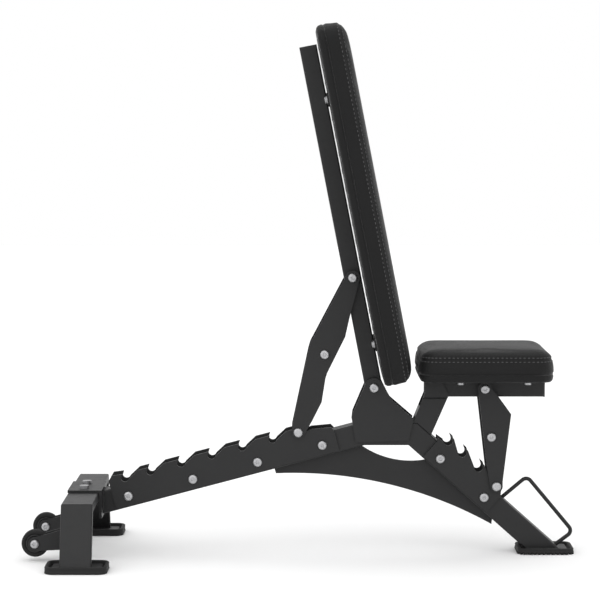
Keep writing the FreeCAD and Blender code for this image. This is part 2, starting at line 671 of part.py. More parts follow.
def drilled_slab(node, x_low, x_high, half, radius, thickness, low, holes):
    """A flat plate with the pad bolts' holes."""
    body = new_body(node)
    sketch = sketch_on(body, "XY_Plane", rounded(x_low, x_high, -half, half, radius),
                       [(x, y, "axle_clear") for x, y in holes])
    pad(body, sketch, thickness, False)
    if low is not None:
        place(body, z=low)
    return body


PAD_BOLT_Y = 38
BACK_MOUNTS = (99, 668)
SEAT_MOUNTS = (369, 522.6)


def mount_plates(node, centres, thickness, low):
    """Two plates across a tube, standing on z = low, each with two holes for the pad's bolts."""
    reach, half, radius = spread("mount_reach", "mount_half", "mount_round")
    items = []
    for index, centre in enumerate(centres):
        holes = [(centre, sign * PAD_BOLT_Y) for _, sign in SIDES]
        items.append(drilled_slab("%s_plate%d" % (node, index), centre - reach, centre + reach, half, radius,
                                  thickness, low, holes))
    return group(node, items)


def back_rest():
    depth = dim("back_tube_depth")
    half = depth / 2
    tube = hollow_box("back_tube", -dim("back_tube_low"), dim("back_tube_top"), -half, depth, "back_tube_width",
                      [(0, 0, "hinge_sleeve_radius"), (dim("strut_pivot"), 0, "strut_sleeve_radius")])
    finish(lean(tube), "back_tube")
    lean(end_cap("back_tube_cap", dim("back_tube_top"), -half, depth, "back_tube_width"))
    sleeve("back_hinge_sleeve", "Dims.hinge_sleeve_radius", "Dims.sleeve_bore", "Dims.sleeve_half",
           "Dims.back_pivot_x", "Dims.back_pivot_z")
    x, z = BACK_STRUT_TOP
    sleeve("back_strut_sleeve", "Dims.strut_sleeve_radius", "Dims.sleeve_bore", "Dims.strut_sleeve_half", x, z)
    mount, board = spread("back_mount_thick", "board_thick")
    holes = [(along, sign * PAD_BOLT_Y) for along in BACK_MOUNTS for _, sign in SIDES]
    lean(mount_plates("back_mount_plates", BACK_MOUNTS, "Dims.back_mount_thick", -half - mount))
    item = drilled_slab("back_board", dim("back_board_low"), dim("back_board_top"), dim("board_half"),
                        dim("board_round"), "Dims.board_thick", None, holes)
    item.Placement = FreeCAD.Placement(FreeCAD.Vector(*[on_back(0, half + mount + board)[0], 0,
                                                        on_back(0, half + mount + board)[1]]),
                                       FreeCAD.Rotation(FreeCAD.Vector(0, 1, 0), -dim("back_angle")))
    finish(item, "back_board")
    lean(pad_bolts("back_pad_bolts", holes, -half, -half - mount - board))
    body = cushion("back_pad", dim("back_pad_low"), dim("back_pad_top"), "back_pad_thick", "pad_edge", False)
    reach = half + mount + board + dim("back_pad_thick")
    body.Placement = FreeCAD.Placement(FreeCAD.Vector(on_back(0, reach)[0], 0, on_back(0, reach)[1]),
                                       FreeCAD.Rotation(FreeCAD.Vector(0, 1, 0), -dim("back_angle")))
    finish(body, "back_pad")


def cushion(node, low, high, thickness, edge, top):
    """A pad solid with round plan corners and a rounded sitting face, on the plane z = 0."""
    half = dim("pad_half")
    body = new_body(node)
    base = pad(body, sketch_on(body, "XY_Plane", rounded(low, high, -half, half, dim("pad_corner"))),
               "Dims." + thickness, False)
    level = dim(thickness) if top else 0
    fillet(body, base, "Dims." + edge,
           lambda item: abs(item.BoundBox.ZMin - level) < 1e-3 and abs(item.BoundBox.ZMax - level) < 1e-3)
    return body


# ---- struts: two shaped plates with their bolts, spacer and roller ----

def strut(node, outline, top, middle, lock):
    where = "(Dims.strut_inner + Dims.strut_thick / 2)"
    holes = [point + ("bolt_clear",) for point in (top, middle, lock)]
    for side, sign in SIDES:
        profile("%s_plate_%s" % (node, side), outline, "strut_thick", "%d * %s" % (sign, where), holes)
    face = "Dims.strut_inner + Dims.strut_thick"
    group(node + "_bolts", [bolt(node + "_pivot", top[0], top[1], face),
                            bolt(node + "_waist", middle[0], middle[1], face)])
    sleeve(node + "_spacer", "Dims.spacer_radius", "Dims.bolt_clear", "Dims.strut_inner", middle[0], middle[1])
    locks = []
    for side, sign in SIDES:
        outside = "Dims.strut_inner + Dims.strut_thick"
        stub_inner = "Dims.frame_width / 2 + Dims.plate_thick + 0.5"
        low = stub_inner if sign > 0 else "-(%s)" % outside
        length = "(%s) - (%s)" % (outside, stub_inner)
        stub = rod("%s_lock_stub_%s" % (node, side), "Dims.bolt_radius", low, length, lock[0], lock[1])
        cap_low = outside if sign > 0 else "-(%s) - Dims.head_height" % outside
        cap = rod("%s_lock_cap_%s" % (node, side), "Dims.head_radius", cap_low, "Dims.head_height", lock[0], lock[1])
        doc.recompute()
        rim = doc.addObject("Part::Fillet", "%s_lock_rim_%s" % (node, side))
        rim.Base = cap
        far = max(abs(edge.BoundBox.Center.y) for edge in cap.Shape.Edges if len(edge.Vertexes) == 1)
        rim.Edges = [(index + 1, dim("head_round"), dim("head_round")) for index, edge in enumerate(cap.Shape.Edges)
                     if len(edge.Vertexes) == 1 and abs(abs(edge.BoundBox.Center.y) - far) < 1e-3]
        whole = doc.addObject("Part::MultiFuse", "%s_lock_%s" % (node, side))
        whole.Shapes = [stub, rim]
        locks.append(whole)
    group(node + "_lock_bolt", locks)
    finish(rod(node + "_roller", "Dims.roller_radius", "-Dims.inner_gap", "2 * Dims.inner_gap", lock[0], lock[1]),
           node + "_roller")


def back_strut():
    x, z = BACK_STRUT_TOP
    reach = dim("strut_top_round")
    low_x, low_z = BACK_LOCK
    outline = [(x - reach, z + 3), ("arc", (x + 1, z + reach), (x + reach, z - 2)), (114.7, 551.7), (103.7, 502.4),
               (62.8, 420.1), (58.7, 407.8), (49.8, 352.1), (28.1, 308.9), (low_x + 12.6, low_z - 7.2),
               ("arc", (low_x - 3.5, low_z - 14.1), (low_x - 14.5, low_z + 1)), (-18.5, 294.5), (19.2, 471.5),
               (24, 487.5)]
    strut("back_strut", outline, BACK_STRUT_TOP, BACK_STRUT_MID, BACK_LOCK)


def seat_strut():
    x, z = STRUT_SEAT
    low_x, low_z = SEAT_LOCK
    reach = dim("strut_top_round")
    outline = [(x - reach, z - 1), ("arc", (x, z + reach), (x + reach, z)), (456.6, 363.5), (485.1, 324),
               (low_x + 14.5, low_z + 12), (low_x + 14.5, low_z), ("arc", (low_x, low_z - 14.5),
                                                                   (low_x - 14.5, low_z)), (430.1, 200.2),
               (411.1, 364.2)]
    strut("seat_strut", outline, STRUT_SEAT, SEAT_STRUT_MID, SEAT_LOCK)


def seat():
    depth, low = spread("seat_tube_depth", "seat_tube_low")
    top = low + depth
    tube = hollow_box("seat_tube", dim("seat_tube_rear"), dim("seat_tube_front"), low, depth, "seat_tube_width",
                      [SEAT_PIVOT + ("seat_sleeve_radius",), STRUT_SEAT + ("strut_sleeve_radius",)])
    finish(tube, "seat_tube")
    end_cap("seat_tube_cap", dim("seat_tube_front"), low, depth, "seat_tube_width")
    sleeve("seat_hinge_sleeve", "Dims.seat_sleeve_radius", "Dims.seat_sleeve_bore", "Dims.seat_sleeve_half",
           "Dims.seat_pivot_x", "Dims.seat_pivot_z")
    sleeve("seat_strut_sleeve", "Dims.strut_sleeve_radius", "Dims.sleeve_bore", "Dims.strut_sleeve_half",
           "Dims.seat_strut_x", "Dims.seat_strut_z")
    mount, board = spread("mount_thick", "board_thick")
    holes = [(along, sign * PAD_BOLT_Y) for along in SEAT_MOUNTS for _, sign in SIDES]
    mount_plates("seat_mount_plates", SEAT_MOUNTS, "Dims.mount_thick", top)
    finish(drilled_slab("seat_board", dim("seat_board_rear"), dim("seat_board_front"), dim("board_half"),
                        dim("board_round"), "Dims.board_thick", top + mount, holes), "seat_board")
    pad_bolts("seat_pad_bolts", holes, top, top + mount + board, ("seat_flange", "seat_head"))
    body = cushion("seat_pad", dim("seat_pad_rear"), dim("seat_pad_front"), "seat_pad_thick", "seat_pad_edge", True)
    place(body, z=top + mount + board)
    finish(body, "seat_pad")


frame_tubes()
neck()
gusset()
side_plates()
frame_bolts()
rear_stand()
feet()
wheels()
handle()
back_rest()
back_strut()
seat_strut()
seat()
doc.recompute()

for item in doc.Objects:
    if "Invalid" in item.State or "Error" in item.State:
        raise RuntimeError("%s is %s" % (item.Name, item.State))

os.makedirs("parts", exist_ok=True)
for part in parts:
    if part.Shape.isNull() or not part.Shape.isValid() or part.Shape.Volume < 1:
        raise RuntimeError(part.Label + " has no valid solid")
    part.Shape.exportStep("parts/%s.step" % part.Label)

whole = Part.makeCompound([part.Shape for part in parts])
box = whole.BoundBox
print(len(parts), "nodes, box", [round(value, 2) for value in
                                 (box.XMin, box.XMax, box.YMin, box.YMax, box.ZMin, box.ZMax)])
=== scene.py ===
import json
import math

import bmesh
import bpy
from bpy.props import FloatProperty, FloatVectorProperty, PointerProperty
from mathutils import Matrix, Vector
from mathutils.bvhtree import BVHTree
from mathutils.noise import noise


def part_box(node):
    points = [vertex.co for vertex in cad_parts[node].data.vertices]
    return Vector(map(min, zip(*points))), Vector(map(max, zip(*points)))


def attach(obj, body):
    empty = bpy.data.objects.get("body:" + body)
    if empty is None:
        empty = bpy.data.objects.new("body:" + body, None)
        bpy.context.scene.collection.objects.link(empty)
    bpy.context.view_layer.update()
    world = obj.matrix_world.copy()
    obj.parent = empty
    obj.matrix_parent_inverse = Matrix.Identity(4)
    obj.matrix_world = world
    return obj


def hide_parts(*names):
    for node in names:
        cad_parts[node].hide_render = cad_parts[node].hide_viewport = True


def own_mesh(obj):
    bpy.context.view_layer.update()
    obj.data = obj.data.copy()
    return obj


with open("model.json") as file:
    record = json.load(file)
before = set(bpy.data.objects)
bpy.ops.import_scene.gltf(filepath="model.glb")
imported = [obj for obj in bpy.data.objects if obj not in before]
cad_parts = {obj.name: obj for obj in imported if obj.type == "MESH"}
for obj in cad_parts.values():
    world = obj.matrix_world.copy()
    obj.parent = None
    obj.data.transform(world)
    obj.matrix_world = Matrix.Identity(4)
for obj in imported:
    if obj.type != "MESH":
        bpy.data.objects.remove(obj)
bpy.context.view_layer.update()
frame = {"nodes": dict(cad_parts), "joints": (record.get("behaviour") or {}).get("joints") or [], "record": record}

bl_info = {
    "name": "Adjustable weight bench",
    "version": (1, 0, 0),
    "blender": (4, 5, 0),
    "location": "View3D > Sidebar > Bench",
    "description": "Upholstery, finishes and studio for an adjustable weight bench",
    "category": "Add Mesh",
}

NODES = frame["nodes"]
JOINTS = {joint["name"]: joint for joint in frame["joints"]}
MM = 0.001
NOTCH_GAP = 1.5 * MM  # a pin is this much thinner than its roller, so that it clears the notch walls


def pivot(joint):
    return Vector(JOINTS[joint]["pos_m"])


# The back rest's own frame: from its hinge, up along the tube, across, and out towards the pad.
HINGE = pivot("back_recline")
UP_BACK = (pivot("back_strut_swing") - HINGE).normalized()
OUT_BACK = Vector((UP_BACK.z, 0, -UP_BACK.x))
BACK_SPACE = Matrix.Translation(HINGE) @ Matrix((UP_BACK, (0, 1, 0), OUT_BACK)).transposed().to_4x4()
SEAT_SPACE = Matrix.Identity(4)


def extent(node, space):
    """Lowest and highest corner of a CAD node, measured in a frame of its own."""
    turned = [space.inverted() @ vertex.co for vertex in NODES[node].data.vertices]
    low = Vector(min(point[axis] for point in turned) for axis in range(3))
    high = Vector(max(point[axis] for point in turned) for axis in range(3))
    return low, high


# ---- settings ----

class PadSettings(bpy.types.PropertyGroup):
    """Shape and sewing of the two pads"""
    plan_radius: FloatProperty(name="Corner radius", description="Round of a pad's plan corners",
                               default=0.042, unit="LENGTH")
    seam_height: FloatProperty(name="Lower seam", description="Height of the seam above the pad's base",
                               default=0.0175, unit="LENGTH")
    panel_height: FloatProperty(name="Upper seam", description="Height of the stitched seam",
                                default=0.0520, unit="LENGTH")
    row_gap: FloatProperty(name="Row gap", description="Distance between the two rows of stitches",
                           default=0.0090, unit="LENGTH")
    stitch_pitch: FloatProperty(name="Stitch pitch", description="Distance from stitch to stitch",
                                default=0.0100, unit="LENGTH")
    stitch_length: FloatProperty(name="Stitch length", description="Length of one stitch",
                                 default=0.0058, unit="LENGTH")
    thread_radius: FloatProperty(name="Thread radius", description="Radius of the sewing thread",
                                 default=0.00058, unit="LENGTH")
    crown: FloatProperty(name="Crown", description="Rise of the sitting face at its middle",
                         default=0.0035, unit="LENGTH")
    swell: FloatProperty(name="Swell limit", description="Furthest that the filling may push the cover",
                         default=0.0018, unit="LENGTH")
    slack: FloatProperty(name="Slack", description="How much smaller the cover is cut than the filled pad",
                         default=0.0009, unit="LENGTH")
    # Painted shadow: the seam cord is a very dark strand that stands for the shade line under the lower seam.
    cord: FloatProperty(name="Seam cord", description="Radius of the cord sewn into the lower seam",
                        default=0.0011, unit="LENGTH")
    voxel: FloatProperty(name="Cloth cell", description="Cell size of the cover while it is filled",
                         default=0.0046, unit="LENGTH")
    firmness: FloatProperty(name="Firmness", description="How full a pad is, from 0, slack, to 1, tight",
                            default=0.85, subtype="FACTOR")
    seat_overhang: FloatProperty(name="Seat overhang", description="Soft rear end of the seat pad",
                                 default=0.0090, unit="LENGTH")
    seat_loft: FloatProperty(name="Seat loft", description="Soft rise of the seat pad above its foam block",
                             default=0.0035, unit="LENGTH")


class FinishSettings(bpy.types.PropertyGroup):
    """Colours of the paint, cover, thread, bolts and rubber"""
    frame_paint: FloatVectorProperty(name="Frame paint", description="Powder coat colour", subtype="COLOR",
                                     default=(0.0150, 0.0150, 0.0154))
    cover: FloatVectorProperty(name="Pad cover", description="Vinyl colour", subtype="COLOR",
                               default=(0.0040, 0.0040, 0.0042))
    thread: FloatVectorProperty(name="Thread", description="Colour of the stitches", subtype="COLOR",
                                default=(0.100, 0.100, 0.102))
    zinc: FloatVectorProperty(name="Zinc", description="Colour of the plated bolts", subtype="COLOR",
                              default=(0.44, 0.44, 0.45))
    rubber: FloatVectorProperty(name="Rubber", description="Colour of the feet and tyres", subtype="COLOR",
                                default=(0.010, 0.010, 0.010))
    grain: FloatProperty(name="Grain size", description="Cell size of the vinyl's leather grain",
                         default=0.0016, unit="LENGTH")


class StudioSettings(bpy.types.PropertyGroup):
    """Camera and lights"""
    camera_distance: FloatProperty(name="Camera distance", description="Camera to the bench's middle plane",
                                   default=5.745, unit="LENGTH")
    camera_height: FloatProperty(name="Camera height", description="Camera above the floor",
                                 default=0.998, unit="LENGTH")
    camera_pitch: FloatProperty(name="Camera pitch", description="Downward tilt of the camera",
                                default=math.radians(4.12), subtype="ANGLE")
    focal_length: FloatProperty(name="Focal length", description="Lens in millimetres on a 36 mm sensor",
                                default=149.9)
    room: FloatProperty(name="Room", description="Strength of the even white light from all round",
                        default=1.0)
    overhead: FloatProperty(name="Overhead light", description="Strength of the wide light from above",
                            default=1.0)
    fill: FloatProperty(name="Front fill", description="Power of the softbox in front of the bench",
                        default=20.0, subtype="POWER")


# ---- shader maths ----

class Value:
    """A socket of a material's node tree, so that shader maths is written as an expression."""

    def __init__(self, finish, socket):
        self.finish = finish
        self.socket = socket

    def _math(self, operation, first, second):
        return self.finish.add("ShaderNodeMath", {"operation": operation}, {0: first, 1: second})

    def __add__(self, other):
        return self._math("ADD", self, other)

    __radd__ = __add__

    def __sub__(self, other):
        return self._math("SUBTRACT", self, other)

    def __rsub__(self, other):
        return self._math("SUBTRACT", other, self)

    def __mul__(self, other):
        return self._math("MULTIPLY", self, other)

    __rmul__ = __mul__

    def __pow__(self, other):
        return self._math("POWER", self, other)


class Finish:
    """A procedural material with one Principled shader."""

    def __init__(self, name, **constants):
        self.material = bpy.data.materials.new(name)
        self.material.use_nodes = True
        self.tree = self.material.node_tree
        self.tree.nodes.clear()
        self.shader = self.tree.nodes.new("ShaderNodeBsdfPrincipled")
        output = self.tree.nodes.new("ShaderNodeOutputMaterial")
        self.tree.links.new(self.shader.outputs[0], output.inputs["Surface"])
        for socket, value in constants.items():
            self.shader.inputs[socket.replace("_", " ")].default_value = value
        self.place = self.add("ShaderNodeTexCoord", {}, {}, "Object")

    def add(self, kind, settings, inputs, output=0):
        """Any node, from its type, its settings, the values or links of its sockets and the output wanted."""
        node = self.tree.nodes.new(kind)
        for key, value in settings.items():
            if key == "stops":
                ramp = node.color_ramp
                ramp.elements[0].position, ramp.elements[1].position = value[0][0], value[-1][0]
                ramp.elements[0].color, ramp.elements[1].color = value[0][1], value[-1][1]
                for position, colour in value[1:-1]:
                    ramp.elements.new(position).color = colour
            else:
                setattr(node, key, value)
        for key, value in inputs.items():
            if isinstance(value, Value):
                self.tree.links.new(value.socket, node.inputs[key])
            else:
                node.inputs[key].default_value = value
        return Value(self, node.outputs[output])

    def feed(self, socket, value):
        self.tree.links.new(value.socket, self.shader.inputs[socket])

    def noise(self, size, detail=3.0, stretch=None):
        """Noise from 0 to 1 whose features are about this size, in metres."""
        place = self.place
        if stretch is not None:
            place = self.add("ShaderNodeVectorMath", {"operation": "MULTIPLY"}, {0: place, 1: stretch})
        inputs = {"Vector": place, "Scale": 1 / size, "Detail": detail}
        return self.add("ShaderNodeTexNoise", {}, inputs, "Fac")

    def cells(self, size, feature="DISTANCE_TO_EDGE"):
        inputs = {"Vector": self.place, "Scale": 1 / size}
        return self.add("ShaderNodeTexVoronoi", {"feature": feature}, inputs, "Distance")

    def ramp(self, value, low, high):
        """0 below low, 1 above high."""
        stops = [(low, (0, 0, 0, 1)), (high, (1, 1, 1, 1))]
        return self.add("ShaderNodeValToRGB", {"stops": stops}, {"Fac": value})

    def mix(self, share, first, second):
        """Colour from first to second as share goes from 0 to 1."""
        colours = [tuple(colour) + (1,) * (4 - len(colour)) if not isinstance(colour, Value) else colour
                   for colour in (first, second)]
        return self.add("ShaderNodeMix", {"data_type": "RGBA"}, {0: share, 6: colours[0], 7: colours[1]}, 2)

    def bump(self, height, distance, strength=1.0):
        self.feed("Normal", self.add("ShaderNodeBump", {}, {"Height": height, "Distance": distance,
                                                            "Strength": strength}))


def shade(colour, factor):
    return tuple(channel * factor for channel in colour)


def powder_coat(name, colour):
    """Satin powder coat: fine orange peel, faint handling marks, and painted top light on upper faces, lightened
    in noisy patches with a little dust.
    """
    finish = Finish(name, Metallic=0.0, Specular_IOR_Level=0.28)
    peel = finish.noise(0.0011, 2.0) * 0.7 + finish.noise(0.0040, 2.0) * 0.3
    marks = finish.ramp(finish.noise(0.018, 6.0, (1.0, 1.0, 3.0)), 0.46, 0.80)
    cloud = finish.noise(0.120, 3.0)
    facing = finish.add("ShaderNodeNewGeometry", {}, {}, "Normal")
    upward = finish.add("ShaderNodeSeparateXYZ", {}, {0: facing}, "Z")
    # Painted top light: faces that point up are lightened towards 2.6 times the paint colour in noisy patches, and
    # made a little rougher like dust.
    dust_and_top_light = finish.ramp(upward, 0.35, 1.0) * (0.25 + 0.75 * finish.noise(0.030, 5.0))
    base = finish.mix(cloud, shade(colour, 0.85), shade(colour, 1.20))
    finish.feed("Base Color", finish.mix(dust_and_top_light * 0.35, base, shade(colour, 2.6)))
    finish.feed("Roughness", 0.40 + 0.10 * peel + 0.08 * marks + 0.06 * dust_and_top_light)
    finish.bump(peel, 0.00018)
    return finish.material


def plated(name, colour, roughness):
    """Zinc plate: crystalline patches, fine turning marks and small dull spots."""
    finish = Finish(name, Metallic=1.0)
    spangle = finish.cells(0.0028, "F1")
    turning = finish.noise(0.0006, 2.0, (1.0, 6.0, 1.0))
    spots = finish.ramp(finish.noise(0.0035, 4.0), 0.52, 0.70)
    tone = finish.mix(spangle, shade(colour, 0.86), shade(colour, 1.16))
    finish.feed("Base Color", finish.mix(spots * 0.45, tone, shade(colour, 0.55)))
    finish.feed("Roughness", roughness + 0.12 * turning + 0.14 * spots)
    finish.bump(turning * 0.6 + spots * 0.4, 0.00006)
    return finish.material


def vinyl(name, colour, grain):
    """Upholstery vinyl: pressed leather grain in small cells with painted shade darkening the valleys between
    them, soft creases and worn high spots.
    """
    finish = Finish(name, Specular_IOR_Level=0.22, Sheen_Weight=0.03)
    pebble = finish.ramp(finish.cells(grain), 0.0, 0.22)
    fine = finish.noise(grain * 0.45, 3.0)
    crease = finish.ramp(finish.noise(0.024, 5.0), 0.38, 0.62)
    worn = finish.noise(0.090, 4.0)
    height = pebble * 0.62 + fine * 0.26 + crease * 0.12
    tone = finish.mix(worn, shade(colour, 0.80), shade(colour, 1.30))
    # Painted shade: the valleys between the grain's cells are darkened towards 0.45 of the cover colour.
    finish.feed("Base Color", finish.mix(pebble, shade(colour, 0.45), tone))
    finish.feed("Roughness", 0.60 - 0.13 * pebble - 0.05 * worn + 0.05 * fine)
    finish.bump(height, 0.00032)
    return finish.material


def spun_thread(name, colour):
    """Twisted sewing thread with a fuzzy, slightly soiled surface."""
    finish = Finish(name, Specular_IOR_Level=0.25, Sheen_Weight=0.3, Sheen_Roughness=0.5)
    twist = finish.add("ShaderNodeTexWave", {"bands_direction": "DIAGONAL"},
                       {"Vector": finish.place, "Scale": 900.0, "Distortion": 1.5, "Detail": 2.0}, "Fac")
    soil = finish.noise(0.045, 4.0)
    finish.feed("Base Color", finish.mix(twist * 0.5 + soil * 0.4, shade(colour, 1.15), shade(colour, 0.55)))
    finish.feed("Roughness", 0.72 + 0.15 * twist)
    finish.bump(twist, 0.00012)
    return finish.material


def moulded_rubber(name, colour, scuff):
    """Moulded rubber: matte skin with pits, chalky scuffs on the edges that touch the floor."""
    finish = Finish(name, Specular_IOR_Level=0.32)
    skin = finish.noise(0.0009, 3.0)
    pits = finish.ramp(finish.cells(0.0030, "F1"), 0.10, 0.45)
    scuffs = finish.ramp(finish.noise(0.012, 6.0, (1.0, 1.0, 2.5)), 0.50, 0.78)
    finish.feed("Base Color", finish.mix(scuffs * scuff, shade(colour, 1.0), shade(colour, 4.2)))
    finish.feed("Roughness", 0.66 + 0.12 * skin + 0.10 * scuffs)
    finish.bump(skin * 0.45 + pits * 0.55, 0.00016)
    return finish.material


def moulded_plastic(name, colour):
    """Textured injection-moulded plastic."""
    finish = Finish(name, Specular_IOR_Level=0.45)
    spark = finish.noise(0.0007, 2.0)
    flow = finish.noise(0.030, 3.0, (1.0, 3.0, 1.0))
    finish.feed("Base Color", finish.mix(flow, shade(colour, 0.85), shade(colour, 1.35)))
    finish.feed("Roughness", 0.46 + 0.14 * spark + 0.06 * flow)
    finish.bump(spark, 0.00010)
    return finish.material


def plywood(name):
    """Birch plywood with growth rings, pores and glue lines."""
    finish = Finish(name, Specular_IOR_Level=0.3)
    rings = finish.add("ShaderNodeTexWave", {"bands_direction": "Y"},
                       {"Vector": finish.place, "Scale": 26.0, "Distortion": 5.0, "Detail": 4.0}, "Fac")
    pores = finish.ramp(finish.noise(0.0012, 4.0, (0.15, 1.0, 1.0)), 0.52, 0.70)
    tone = finish.mix(rings, (0.42, 0.29, 0.17), (0.56, 0.42, 0.27))
    finish.feed("Base Color", finish.mix(pores * 0.6, tone, (0.24, 0.15, 0.08)))
    finish.feed("Roughness", 0.62 + 0.12 * pores)
    finish.bump(rings * 0.4 + pores * 0.6, 0.00015)
    return finish.material


def dust_cloth(name):
    """Black non-woven cloth under the pads: bonded dots between loose fibres."""
    finish = Finish(name, Specular_IOR_Level=0.15, Sheen_Weight=0.15)
    dots = finish.ramp(finish.cells(0.0024, "F1"), 0.20, 0.50)
    fibres = finish.noise(0.0006, 5.0, (1.0, 2.5, 1.0))
    finish.feed("Base Color", finish.mix(fibres, (0.006, 0.006, 0.006), (0.022, 0.022, 0.023)))
    finish.feed("Roughness", 0.82 + 0.12 * fibres)
    finish.bump(dots * 0.7 + fibres * 0.3, 0.00022)
    return finish.material


def studio_paint(name):
    """Matte white studio floor with a barely visible roller texture."""
    finish = Finish(name, Specular_IOR_Level=0.1)
    stipple = finish.noise(0.012, 3.0)
    finish.feed("Base Color", finish.mix(finish.noise(0.8, 3.0), (0.88, 0.88, 0.88), (0.91, 0.91, 0.91)))
    finish.feed("Roughness", 0.85 + 0.08 * stipple)
    finish.bump(stipple, 0.0002, 0.3)
    return finish.material


# ---- mesh helpers ----

def new_piece(name, mesh, body, material):
    piece = bpy.data.objects.new(name, mesh)
    bpy.context.scene.collection.objects.link(piece)
    mesh.materials.clear()
    mesh.materials.append(material)
    for polygon in mesh.polygons:
        polygon.use_smooth = True
    if body is not None:
        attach(piece, body)
    return piece


def mesh_from(name, bm):
    bmesh.ops.recalc_face_normals(bm, faces=bm.faces)
    mesh = bpy.data.meshes.new(name)
    bm.to_mesh(mesh)
    bm.free()
    return mesh


def held_inside(point, half_x, half_y):
    """The nearest point of a rectangle, in plan."""
    return Vector((max(-half_x, min(half_x, point.x)), max(-half_y, min(half_y, point.y))))


def rounded_plan(half_x, half_y, radius, step=0.010, turns=10):
    """Points and outward directions round a rectangle with round corners, the same count at every size."""
    points = []
    counts = (max(2, round(half_y * 2 / step)), max(2, round(half_x * 2 / step)))
    corners = ((1, 1), (-1, 1), (-1, -1), (1, -1))
    for index, (side_x, side_y) in enumerate(corners):
        centre = Vector((side_x * (half_x - radius), side_y * (half_y - radius)))
        for turn in range(turns + 1):
            angle = math.pi / 2 * (index + turn / turns)
            away = Vector((math.cos(angle), math.sin(angle)))
            points.append((centre + away * radius, away))
        following = corners[(index + 1) % 4]
        end = Vector((following[0] * (half_x - radius), following[1] * (half_y - radius)))
        count = counts[(index + 1) % 2]
        for place in range(1, count):
            share = place / count
            points.append((centre.lerp(end, share) + away * radius, away))
    return points


def join_rings(bm, rings, closed=False):
    """Walls between rings of equal count: the last ring joins the first, or the two ends are filled in."""
    following = rings[1:] + rings[:1] if closed else rings[1:]
    for first, second in zip(rings, following):
        for index in range(len(first)):
            after = (index + 1) % len(first)
            bm.faces.new((first[index], first[after], second[after], second[index]))
    if not closed:
        bm.faces.new(rings[0][::-1])
        bm.faces.new(rings[-1])


def ring_solid(half_x, half_y, radius, levels, step=0.010):
    """A closed solid of rings: each level is (inset, height); the first and last are filled in."""
    bm = bmesh.new()
    rings = []
    counted = rounded_plan(half_x, half_y, radius, step)
    for inset, height in levels:
        corner = max(radius - inset, 0.004)
        shrunk = rounded_plan_like(counted, half_x, half_y, radius, half_x - inset, half_y - inset, corner)
        rings.append([bm.verts.new((point.x, point.y, height)) for point in shrunk])
    join_rings(bm, rings)
    return bm


def rounded_plan_like(counted, half_x, half_y, radius, new_x, new_y, corner):
    """The same points on a rectangle of another size, so that rings join one to one."""
    moved = []
    for point, away in counted:
        straight_x, straight_y = half_x - radius, half_y - radius
        core = held_inside(point, straight_x, straight_y)
        core.x *= (new_x - corner) / straight_x
        core.y *= (new_y - corner) / straight_y
        moved.append(core + away * corner)
    return moved


def lathe(name, profile, centre, segments=64):
    """A solid turned about the Y axis through centre, from (radius, y) points."""
    bm = bmesh.new()
    rings = []
    for radius, y in profile:
        ring = []
        for index in range(segments):
            angle = 2 * math.pi * index / segments
            ring.append(bm.verts.new((centre[0] + radius * math.cos(angle), centre[1] + y,
                                      centre[2] + radius * math.sin(angle))))
        rings.append(ring)
    join_rings(bm, rings, closed=True)
    return mesh_from(name, bm)


def even_steps(outline, pitch):
    """Points, tangents and outward directions at an even pitch round a closed outline."""
    lengths = [0.0]
    loop = outline + [outline[0]]
    for (first, _), (second, _) in zip(loop, loop[1:]):
        lengths.append(lengths[-1] + (second - first).length)
    count = round(lengths[-1] / pitch)
    found = []
    place = 0
    for index in range(count):
        wanted = lengths[-1] * index / count
        while lengths[place + 1] < wanted:
            place += 1
        (first, away), (second, away_next) = loop[place], loop[place + 1]
        share = (wanted - lengths[place]) / max(lengths[place + 1] - lengths[place], 1e-9)
        tangent = (second - first).normalized()
        found.append((first.lerp(second, share), tangent, away.lerp(away_next, share).normalized()))
    return found


# ---- pads ----

class Pad:
    """Sizes and frame of one pad: its plan, its thickness and where its base lies."""

    def __init__(self, node, board, space, body, overhang=0.0, loft=0.0):
        low, high = extent(node, space)
        base = extent(board, space)[0].z - 1.4 * MM
        self.nodes = (node, board)
        self.body = body
        self.thick = high.z - base + loft
        self.half_x = (high.x - low.x + overhang) / 2
        self.half_y = (high.y - low.y) / 2
        middle = Vector(((high.x + low.x - overhang) / 2, 0, base))
        self.to_row = space @ Matrix.Translation(middle)


PADS = {}


def pad_for(settings, which):
    if which not in PADS:
        if which == "seat":
            PADS[which] = Pad("seat_pad", "seat_board", SEAT_SPACE, "seat_frame", settings.seat_overhang,
                               settings.seat_loft)
        else:
            PADS[which] = Pad("back_pad", "back_board", BACK_SPACE, "back_frame")
    return PADS[which]


